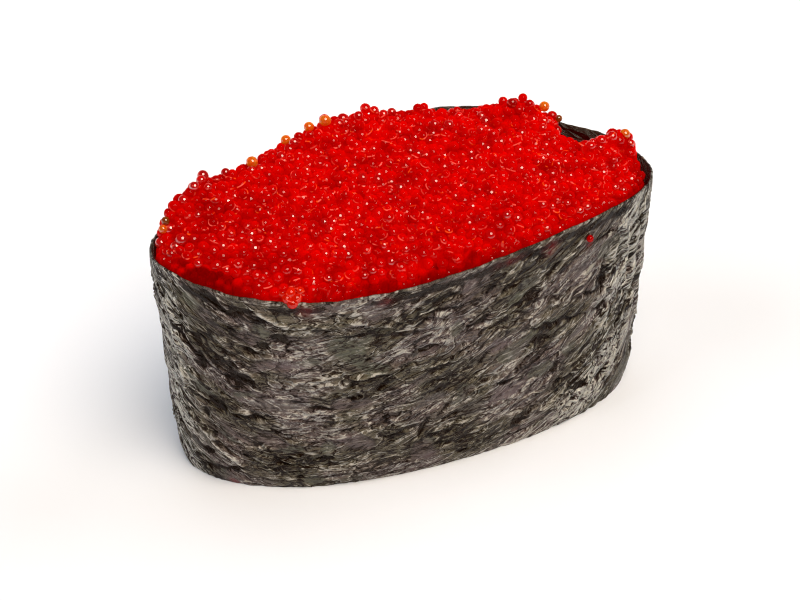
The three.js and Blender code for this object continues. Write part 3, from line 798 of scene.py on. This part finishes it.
def make_roe_core(settings):
    """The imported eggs. Rings shrink from the wall to a short line along the middle, at the
    height of the highest egg over each point, z + sqrt(r^2 - d^2), or of the heap less the sink
    between them. Below them come the side down to the underside, and the underside."""
    eggs = laid_eggs(settings)["packed"]
    column = np.arange(CORE_COLUMNS)
    angle = column / CORE_COLUMNS * TURN
    share = np.linspace(1, 0.012, CORE_RINGS)[:, None, None]
    edge = wall(angle, 0.98, FACE_DEPTH + 0.12)[:, :2]
    plan = (edge * np.concatenate([0.5 + 0.5 * share, share], -1)).reshape(-1, 2)
    level = heap(*plan.T) - SINK
    owner = np.full(len(plan), -1)
    for part in np.array_split(np.arange(len(plan)), 60):
        square = ((plan[part, None] - eggs["place"][None, :, :2]) ** 2).sum(-1)
        over = eggs["radius"] ** 2 - square
        top = np.where(over > 0, eggs["place"][:, 2] + np.sqrt(np.maximum(over, 0)), -99)
        best = top.argmax(1)
        highest = top[np.arange(len(part)), best]
        owner[part] = np.where(highest > level[part], best, -1)
        level[part] = np.maximum(level[part], highest)
    top = np.column_stack([plan, level]).reshape(CORE_RINGS, CORE_COLUMNS, 3)
    skirt = [wall(angle, z / rim(angle), FACE_DEPTH + 0.2) for z in (25.5, 22.4, ROE_FOOT)]
    skirt[0][:, 2] = np.minimum(skirt[0][:, 2], top[0, :, 2] - 0.8)
    under = [skirt[2] * [k, k, 1] for k in (0.66, 0.33)]
    rings = np.concatenate([np.stack(under[::-1] + skirt[::-1]), top])
    points = np.concatenate([rings.reshape(-1, 3), [[0, 0, ROE_FOOT]]])

    # The sides, the underside's middle and, on top, a seam along the short line.
    faces = grid_faces(len(rings), CORE_COLUMNS).tolist()
    faces += fan(len(points) - 1, (column + 1) % CORE_COLUMNS, column)
    front, back = np.arange(CORE_COLUMNS // 2), -np.arange(CORE_COLUMNS // 2) % CORE_COLUMNS
    closing = np.stack([front, front + 1, (back - 1) % CORE_COLUMNS, back], -1)
    faces += (closing + (len(rings) - 1) * CORE_COLUMNS).tolist()

    # Each point has the looks of the egg that it lies on.
    egg = np.concatenate([np.full(len(under + skirt) * CORE_COLUMNS, -1), owner, [-1]])
    bare = {"shade": 0.4, "wet": 0.0, "arc": 0.0, "band": 0.0, "radius": 1.0}
    own = {label: np.where(egg < 0, value, eggs[label][egg]) for label, value in bare.items()}
    off = (points - eggs["place"][egg]) / own.pop("radius")[:, None]
    dim = in_shade(points[:, 0], points[:, 1])
    on_top = smoothstep(np.hypot(off[:, 0], off[:, 1]), 0.85, 0.72)
    own["curl"] = np.where(egg < 0, 0.0, (off * eggs["axis"][egg]).sum(-1)) - own.pop("band")
    own["wet"] = own["wet"] * on_top * np.clip(1.5 - 2.5 * dim, 0, 1)
    own["arc"] = own["arc"] * np.clip(1.4 - 2 * dim, 0, 1)
    # Painted shade: the core between the eggs is 1.2 times as dim, and the tops of pale eggs get painted
    # light.
    own["dim"] = dim * np.where(egg < 0, 1.2, dimness_with_lit_tops(own["shade"], off[:, 2]))
    finish = roe_finish("roe_core", settings.dark, settings.bright, settings.glow, settings, 1.8)
    piece = make_piece("roe_core", points, faces, finish, own)
    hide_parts("roe")


def dimness_with_lit_tops(shade, up):
    """What an egg's dimness is multiplied by: 1.2, and down to 0.3 on the top of a pale egg,
    where its surface faces up. This is painted light on egg tops and painted shade round them."""
    return 1.2 - 0.9 * smoothstep(shade, 0.3, 0.9) * smoothstep(up, 0.2, 0.95)


def in_shade(x, y):
    """How little light a place gets: up to 1 on the steep left front of the heap close by the
    wall, less in narrow strips along the front and the right end, a little over the whole left
    end, and 0 elsewhere."""
    angle, inside, _ = nearest(x, y)
    inside = inside + 0.25 * ripple(x / 1.3, y / 1.3, 33)
    steep = np.clip(1.05 * bell(angle, 204, 20), 0, 1) * smoothstep(inside, 2.0, 1.2)
    uneven = inside + 0.6 * ripple(x / 1.4, y / 1.4, 34)
    front = 0.75 * bell(angle, 268, 38) * smoothstep(uneven, 1.3, 0.5)
    right = 0.6 * bell(angle, 338, 20) * smoothstep(inside, 1.8, 0.8)
    return np.maximum.reduce([steep, front, right, 0.22 * smoothstep(x, -8, -22)])


def ceiling(x, y):
    """The level of the egg tops: the heap's, a little higher, and uneven by a third of a mm."""
    return heap(x, y) + 0.3 + 0.3 * ripple(x / 2.1, y / 2.1, 31)


def settle(places, radii, layer):
    """Eggs pushed apart until they hardly overlap, kept inside the wall, below the ceiling and
    above the bottom of their layer. They float up a little each round, so that the top fills."""
    for _ in range(70):
        places[:, 2] += 0.02
        square = (places ** 2).sum(1)
        apart = square[:, None] + square[None, :] - 2 * places @ places.T
        first, second = np.nonzero(np.triu(apart < 1.7, 1))
        way = places[second] - places[first]
        far = np.linalg.norm(way, axis=1) + 1e-6
        overlap = np.maximum(0.97 * (radii[first] + radii[second]) - far, 0)
        push = way / far[:, None] * (0.45 * overlap)[:, None]
        for axis in range(3):
            places[:, axis] += (np.bincount(second, push[:, axis], len(places))
                                - np.bincount(first, push[:, axis], len(places)))
        _, inside, out = nearest(places[:, 0], places[:, 1])
        short = np.maximum(radii + 0.02 - inside, 0)
        places[:, :2] -= out * short[:, None]
        top = ceiling(places[:, 0], places[:, 1]) - radii
        places[:, 2] = np.clip(places[:, 2], top - layer, top)
    return places


def rest_height(x, y, radius, places, radii):
    """The lowest height at which a new egg at (x, y) touches the eggs that lie below it: the
    highest of z + sqrt((r + radius)^2 - d^2) over the eggs at a plan distance d within reach."""
    square = (x[:, None] - places[:, 0]) ** 2 + (y[:, None] - places[:, 1]) ** 2
    reach = (radius[:, None] + radii) ** 2
    return np.where(square < reach, places[:, 2] + np.sqrt(np.maximum(reach - square, 0)), -99).max(1)


@lru_cache
def lay_eggs(count, middling, spread, layer):
    """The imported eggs, whose tops make the core's surface, and the loose eggs. For both it gives
    their middles, radii and kinds, how dark, dim and wet they are, and their curl of light: how
    bright it is, the axis that it goes round and how far along it."""
    random = np.random.default_rng(17)
    radii = random.normal(middling, spread, count)
    radii = np.clip(radii, middling - 2 * spread, middling + 2 * spread)
    spots = random.uniform(-1, 1, (3 * count, 2)) * [HALF_LENGTH, HALF_WIDTH + 1]
    x, y = spots[nearest(*spots.T)[1] > middling][:count].T
    places = np.stack([x, y, ceiling(x, y) - radii - random.uniform(0, layer, count)], -1)
    places = settle(places, radii, layer)

    # Single eggs on top: the listed ones, and others in the lowest pockets of a random lot.
    angle, inset, size, named = (np.array(column) for column in zip(*SINGLE_EGGS))
    singles = wall(np.radians(angle), 1.0, inset)
    singles[:, 2] = rest_height(singles[:, 0], singles[:, 1], size, places, radii) - NESTLE
    x, y = random.uniform(-26, 26, POCKETS), random.uniform(-12.5, 12.5, POCKETS)
    more = np.clip(random.normal(middling, spread, POCKETS), 0.48, 0.72)
    z = rest_height(x, y, more, places, radii) - NESTLE
    pockets = np.column_stack([x, y, z])
    proud = np.where(nearest(x, y)[1] > 0.9, z - ceiling(x, y), 9)
    chosen = []
    for n in np.argsort(proud)[:LOW_POCKETS]:
        others = np.concatenate([singles, pockets[chosen]])[:, :2]
        if np.hypot(*(others - pockets[n, :2]).T).min() > APART:
            chosen.append(n)
    chosen = chosen[:MORE_EGGS]

    # Eggs that hang over the front rim, and one that is stuck to the band.
    angle, inset, over, hang = (np.array(column) for column in zip(*HANGING_EGGS))
    hanging = wall(np.radians(angle), 1.0, inset)
    hanging[:, 2] += over
    stuck = wall(np.radians([306.5]), 0.92, -0.25)

    # A row along the front rim, in the angle between the heap and the band.
    turn = np.radians(np.arange(237, 340, 2.5))
    turn = turn + random.uniform(-0.018, 0.018, len(turn))
    beads = random.uniform(0.44, 0.64, len(turn))
    row = wall(turn, 1.0, FACE_DEPTH + 0.06 + beads)
    row[:, 2] -= random.uniform(0.0, 0.5, len(turn))

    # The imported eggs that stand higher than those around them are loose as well.
    x, y, z = places.T
    square = ((places[:, None, :2] - places[None, :, :2]) ** 2).sum(-1)
    near = np.exp(-square / 1.2) * (square > 0)
    stands = z + radii - near @ (z + radii) / near.sum(1)
    loose = (stands > 0.34) & (in_shade(x, y) < 0.4)
    loose |= (nearest(x, y)[1] < 2.6) & (y > -4 + 0.1 * np.abs(x))

    lots = {
        "packed": [(places[~loose], radii[~loose], "red")],
        "loose": [(places[loose], radii[loose], "red"), (singles, size, named),
                  (pockets[chosen], more[chosen], "red"), (row, beads, "red"),
                  (hanging, hang, "coral"), (stuck, [0.4], "deep")],
    }
    eggs = {}
    for lot, groups in lots.items():
        groups = [(middles, sizes, np.broadcast_to(kinds, len(sizes))) for middles, sizes, kinds in groups]
        place, radius, kind = (np.concatenate(column) for column in zip(*groups))
        chance, share = random.uniform(0, 1, (2, len(place)))
        if lot == "loose":
            chance[loose.sum():][:len(singles)] = 0
        wet = np.select([chance < 0.15, chance < 0.48], [0.42 + 0.35 * share, 0.07 + 0.17 * share], 0.02)
        axis = np.column_stack([random.uniform(-0.9, 0.9, (len(place), 2)), np.full(len(place), -1.0)])
        arc = np.maximum(random.uniform(-0.75, 1.3, len(place)), 0)
        x, y, _ = place.T
        dim = np.where(kind == "deep", 0.5, in_shade(x, y))
        left = 1 + 0.5 * smoothstep(x, -6, -18)
        red_wet = wet * np.clip(1.4 - 1.8 * dim, 0, 1) * left
        red_arc = arc * (1 - dim) * left * smoothstep(nearest(x, y)[1], 0.7, 1.2)
        eggs[lot] = {
            "place": place,
            "radius": radius,
            "kind": kind,
            "dim": dim,
            "shade": np.clip(random.normal(0.55, 0.25, len(place)), 0, 1),
            "wet": np.select([np.isin(kind, ("red", "deep")), kind == "coral"], [red_wet, 0.25], 0.7),
            "arc": np.where(kind == "coral", 1.0, red_arc),
            "band": random.uniform(-0.72, 0.1, len(place)),
            "axis": axis / np.linalg.norm(axis, axis=1)[:, None],
        }
    return eggs


def laid_eggs(settings):
    """The eggs by the settings, which are in metres."""
    return lay_eggs(settings.count, settings.radius / MM, settings.spread / MM, settings.layer / MM)


def make_eggs(settings):
    """Each loose egg is a ball of 80 faces, a little longer one way, turned at random."""
    eggs = laid_eggs(settings)["loose"]
    random = np.random.default_rng(23)
    corners, faces = ball(2)
    count = len(eggs["radius"])
    stretch = 1 + random.uniform(-0.06, 0.06, (count, 1, 3))
    turned = np.einsum("nij,nvj->nvi", random_turns(random, count), corners[None] * stretch)
    points = eggs["place"][:, None] + eggs["radius"][:, None, None] * turned
    finishes = {
        "red": (settings.dark, settings.bright, settings.glow),
        "coral": (settings.dark, settings.coral, settings.coral_glow),
        "amber": (settings.amber, settings.amber, settings.amber_glow),
        "brown": (settings.brown, settings.brown, settings.brown_glow),
    }
    kinds = np.where(eggs["kind"] == "deep", "red", eggs["kind"])
    for kind, colours in finishes.items():
        mine = np.nonzero(kinds == kind)[0]
        form = turned[mine]
        own = {label: np.repeat(eggs[label][mine], len(corners)) for label in ("shade", "wet", "arc", "dim")}
        # Painted light on the tops of pale eggs, and painted shade below them.
        own["dim"] = own["dim"] * dimness_with_lit_tops(own["shade"], form[..., 2].ravel())
        own["curl"] = np.einsum("nvj,nj->nv", form, eggs["axis"][mine]) - eggs["band"][mine][:, None]
        finish = roe_finish(f"roe_{kind}", *colours, settings, 0.5)
        make_piece(f"eggs_{kind}", points[mine].reshape(-1, 3), copies(faces, len(corners), len(mine)),
                   finish, own)


# --- rice

RICE_DEPTH = 0.78         # the bed's side lies this far inside the band's outer face
GRAIN_TRIES = 2600        # places that are tried for a grain


def make_rice_bed(settings):
    """The pressed bed: level rings from the underside to the top, inside the band by its
    thickness and a small gap, with low lumps, and a fan at both ends."""
    count = 220
    column = np.arange(count)
    angle = column / count * TURN
    levels = [1.1, 1.3, 2.3, 4.5, 8, 12, 16, 18.4, RICE_TOP]
    insets = [0.5, 0.2, 0, 0, 0, 0, 0, 0.1, 0.5]
    rings = np.stack([
        wall(angle, z / rim(angle), RICE_DEPTH + inset + 0.12 * ripple(angle * 8, z / 2, 41) ** 2)
        for z, inset in zip(levels, insets)
    ])
    inner = [rings[0] * [k, k, 1] for k in (0.3, 0.6, 0.85)]
    crown = [rings[-1] * [k, k, 1] for k in (0.85, 0.6, 0.3)]
    rings = np.concatenate([np.stack(inner), rings, np.stack(crown)])
    rings[-3:, :, 2] -= 0.15 * np.abs(ripple(rings[-3:, :, 0] / 2, rings[-3:, :, 1] / 2, 42))
    points = np.concatenate([rings.reshape(-1, 3), [[0, 0, levels[0]], [0, 0, RICE_TOP]]])
    after, last = (column + 1) % count, (len(rings) - 1) * count
    faces = grid_faces(len(rings), count).tolist()
    faces += fan(len(points) - 2, after, column) + fan(len(points) - 1, last + column, last + after)
    piece = make_piece("rice_bed", points, faces, rice_finish(settings))
    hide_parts("rice")
    return piece


def make_grains(settings, finish):
    """Grains on the underside: spindles with radius (1 - x^2)^0.6, a little bent, that lie in
    all directions as close as their middles' least distance lets them, pressed flat at 0. Others
    lie deeper in the gaps between them."""
    random = np.random.default_rng(47)
    long, wide = settings.grain_length / MM, settings.grain_width / MM
    spot = np.column_stack([random.uniform(-26, 26, GRAIN_TRIES), random.uniform(-13, 13, GRAIN_TRIES)])
    turn = random.uniform(0, np.pi, GRAIN_TRIES)
    way = np.stack([np.cos(turn), np.sin(turn)], -1)
    steps = np.array([-1, -0.33, 0.33, 1]) * (long - wide) / 2
    beads = spot[:, None] + steps[None, :, None] * way[:, None]
    foot = wall(FACE_ANGLES, 0.02, FACE_DEPTH + 0.35)[:, :2]
    best = ((beads[:, :, None] - foot) ** 2).sum(-1).argmin(-1)
    inside = ((foot[best] - beads) * FACE_OUT[best]).sum(-1) > wide / 2
    kept, sunk = [], []
    for clear, depth in ((0.8, 0.0), (0.4, 0.42)):
        for n in np.nonzero(inside.all(1))[0]:
            gaps = np.hypot(*(beads[n][:, None] - beads[kept].reshape(-1, 2)).T)
            if gaps.min(initial=long) > clear * wide:
                kept.append(n)
                sunk.append(depth)

    corners, faces = ball(3)
    x, y, z = corners.T
    taper = np.maximum(1 - x * x, 0) ** 0.1
    shape = np.stack([x * long / 2, y * taper * wide / 2 + 0.12 * x * x, z * taper * wide * 0.45], -1)
    size = random.uniform(0.92, 1.06, (len(kept), 1, 1))
    x, y, z = np.moveaxis(shape * size, -1, 0)
    cos, sin = way[kept].T[..., None]
    points = np.stack([
        spot[kept][:, :1] + x * cos - y * sin,
        spot[kept][:, 1:] + x * sin + y * cos,
        np.maximum(z + random.uniform(0.8, 1.02, (len(kept), 1)) + np.array(sunk)[:, None], 0),
    ], -1)
    cells = copies(faces, len(corners), len(kept))
    make_piece("rice_grains", points.reshape(-1, 3), cells, finish)


# --- stage

# Lamps: the direction that they shine from, as degrees to the right of the camera and degrees
# up, the strength, how wide they look in degrees, and the colour. Only the first is mirrored.
LAMPS = [
    (38, 62, 2.7, 46, (1.0, 0.88, 0.72)),
    (-70, 40, 0.95, 36, (0.95, 0.98, 1.0)),
    (115, 40, 0.9, 36, (0.95, 0.98, 1.0)),
    (-160, 66, 0.6, 40, (0.92, 0.97, 1.0)),
]
LOOKED_AT = (-0.000045, -0.001219, 0.014607)
FLOOR_RADIUS = 4.0
FLOOR_LEVEL = -0.00002    # just below the foot of the band
BACKDROP = 0.98           # how bright the surround is for the camera
FILL = 0.03               # and for everything else


def back_direction(azimuth, elevation):
    """From what is looked at towards the camera."""
    return Vector((math.sin(azimuth) * math.cos(elevation), -math.cos(azimuth) * math.cos(elevation),
                   math.sin(elevation)))


def make_stage(settings):
    """A wide floor, four soft lamps, a pale surround and the camera."""
    scene = bpy.context.scene
    finish = Finish("floor")
    finish.feed(finish.shader, {
        "Base Color": (*settings.floor, 1),
        "Roughness": 0.9,
        "Specular IOR Level": 0.0,
    })
    mesh = bpy.data.meshes.new("floor")
    angles = [n / 96 * TURN for n in range(96)]
    edge = [(FLOOR_RADIUS * math.cos(a), FLOOR_RADIUS * math.sin(a), FLOOR_LEVEL) for a in angles]
    mesh.from_pydata(edge, [], [list(range(len(edge)))])
    mesh.materials.append(finish.material)
    floor = bpy.data.objects.new("floor", mesh)
    scene.collection.objects.link(floor)

    for number, (right, up, strength, wide, tint) in enumerate(LAMPS):
        lamp = bpy.data.lights.new(f"lamp_{number}", "SUN")
        lamp.energy, lamp.angle, lamp.color = strength, math.radians(wide), tint
        holder = bpy.data.objects.new(f"lamp_{number}", lamp)
        way = back_direction(settings.azimuth + math.radians(right), math.radians(up))
        holder.rotation_euler = way.to_track_quat("Z", "Y").to_euler()
        holder.location = way * 0.5
        holder.visible_glossy = number == 0
        scene.collection.objects.link(holder)

    world = bpy.data.worlds.new("surround")
    tree = Tree(world)
    tree.nodes.clear()
    fill, seen = (
        tree.out(tree.node("ShaderNodeBackground", None, {"Color": (1, 1, 1, 1), "Strength": strength}))
        for strength in (FILL, BACKDROP))
    by_camera = tree.out(tree.node("ShaderNodeLightPath"), "Is Camera Ray")
    mix = tree.node("ShaderNodeMixShader", None, {0: by_camera, 1: fill, 2: seen})
    tree.node("ShaderNodeOutputWorld", None, {0: tree.out(mix)})
    scene.world = world
    scene.view_settings.view_transform = "Standard"

    lens = bpy.data.cameras.new("camera")
    lens.sensor_width, lens.lens = 36, 112.5171
    lens.clip_start, lens.clip_end = 0.01, 20
    camera = bpy.data.objects.new("camera", lens)
    back = back_direction(settings.azimuth, settings.elevation)
    camera.location = Vector(LOOKED_AT) + back * settings.distance
    camera.rotation_euler = back.to_track_quat("Z", "Y").to_euler()
    scene.collection.objects.link(camera)
    scene.camera = camera
    keep_gloss_sharp(scene)


def keep_gloss_sharp(scene):
    """The picture without its gloss is denoised, and the gloss is added to it as it was made,
    because a denoiser takes glints as small as those on the eggs for noise."""
    scene.cycles.use_denoising = False
    scene.cycles.filter_width = 1.1
    layer = bpy.context.view_layer
    layer.use_pass_glossy_direct = layer.use_pass_glossy_color = True
    layer.use_pass_diffuse_color = layer.use_pass_normal = True
    tree = Tree(scene)
    tree.nodes.clear()
    layers = tree.node("CompositorNodeRLayers")
    image, light, tint, albedo, normal = (
        tree.out(layers, label) for label in ("Image", "GlossDir", "GlossCol", "DiffCol", "Normal"))

    def blend(kind, first, second):
        return tree.out(tree.node("CompositorNodeMixRGB", {"blend_type": kind}, {1: first, 2: second}))

    gloss = blend("MULTIPLY", light, tint)
    without = blend("SUBTRACT", image, gloss)
    denoise = tree.node("CompositorNodeDenoise", None, {"Image": without, "Albedo": albedo, "Normal": normal})
    tree.node("CompositorNodeComposite", None, {0: blend("ADD", tree.out(denoise), gloss)})


# --- operators and panel

class SUSHI_OT_nori(Operator):
    """Wrap the band of nori"""
    bl_idname = "sushi.nori"
    bl_label = "Nori band"

    def execute(self, context):
        make_nori(context.scene.sushi_nori)
        return {"FINISHED"}


class SUSHI_OT_roe_core(Operator):
    """Fill the heap with packed eggs"""
    bl_idname = "sushi.roe_core"
    bl_label = "Roe core"

    def execute(self, context):
        make_roe_core(context.scene.sushi_roe)
        return {"FINISHED"}


class SUSHI_OT_eggs(Operator):
    """Lay the loose eggs over the heap"""
    bl_idname = "sushi.eggs"
    bl_label = "Loose eggs"

    def execute(self, context):
        make_eggs(context.scene.sushi_roe)
        return {"FINISHED"}


class SUSHI_OT_rice(Operator):
    """Press the bed of rice, with its grains on the underside"""
    bl_idname = "sushi.rice"
    bl_label = "Rice"

    def execute(self, context):
        settings = context.scene.sushi_rice
        bed = make_rice_bed(settings)
        make_grains(settings, bed.data.materials[0])
        return {"FINISHED"}


class SUSHI_OT_stage(Operator):
    """Set the floor, the lamps and the camera"""
    bl_idname = "sushi.stage"
    bl_label = "Stage"

    def execute(self, context):
        make_stage(context.scene.sushi_stage)
        return {"FINISHED"}


PIECES = (
    (SUSHI_OT_stage, "sushi_stage"), (SUSHI_OT_nori, "sushi_nori"), (SUSHI_OT_roe_core, "sushi_roe"),
    (SUSHI_OT_eggs, "sushi_roe"), (SUSHI_OT_rice, "sushi_rice"),
)
SETTINGS = {"sushi_nori": NoriSettings, "sushi_roe": RoeSettings, "sushi_rice": RiceSettings,
            "sushi_stage": StageSettings}


class SUSHI_PT_pieces(Panel):
    """The pieces of the sushi, with their sizes and colours"""
    bl_idname = "SUSHI_PT_pieces"
    bl_label = "Gunkan sushi"
    bl_space_type = "VIEW_3D"
    bl_region_type = "UI"
    bl_category = "Sushi"

    def draw(self, context):
        for name, group in SETTINGS.items():
            box = self.layout.box()
            for operator, owner in PIECES:
                if owner == name:
                    box.operator(operator.bl_idname)
            for label in group.__annotations__:
                box.prop(getattr(context.scene, name), label)


def register():
    for group in SETTINGS.values():
        bpy.utils.register_class(group)
    for operator, _ in PIECES:
        bpy.utils.register_class(operator)
    bpy.utils.register_class(SUSHI_PT_pieces)
    for name, group in SETTINGS.items():
        setattr(bpy.types.Scene, name, PointerProperty(type=group))


def unregister():
    for name in SETTINGS:
        delattr(bpy.types.Scene, name)
    bpy.utils.unregister_class(SUSHI_PT_pieces)
    for operator, _ in reversed(PIECES):
        bpy.utils.unregister_class(operator)
    for group in reversed(SETTINGS.values()):
        bpy.utils.unregister_class(group)


def main():
    register()
    for operator, _ in PIECES:
        getattr(bpy.ops.sushi, operator.bl_idname.split(".")[1])()


if __name__ == "__main__":
    main()
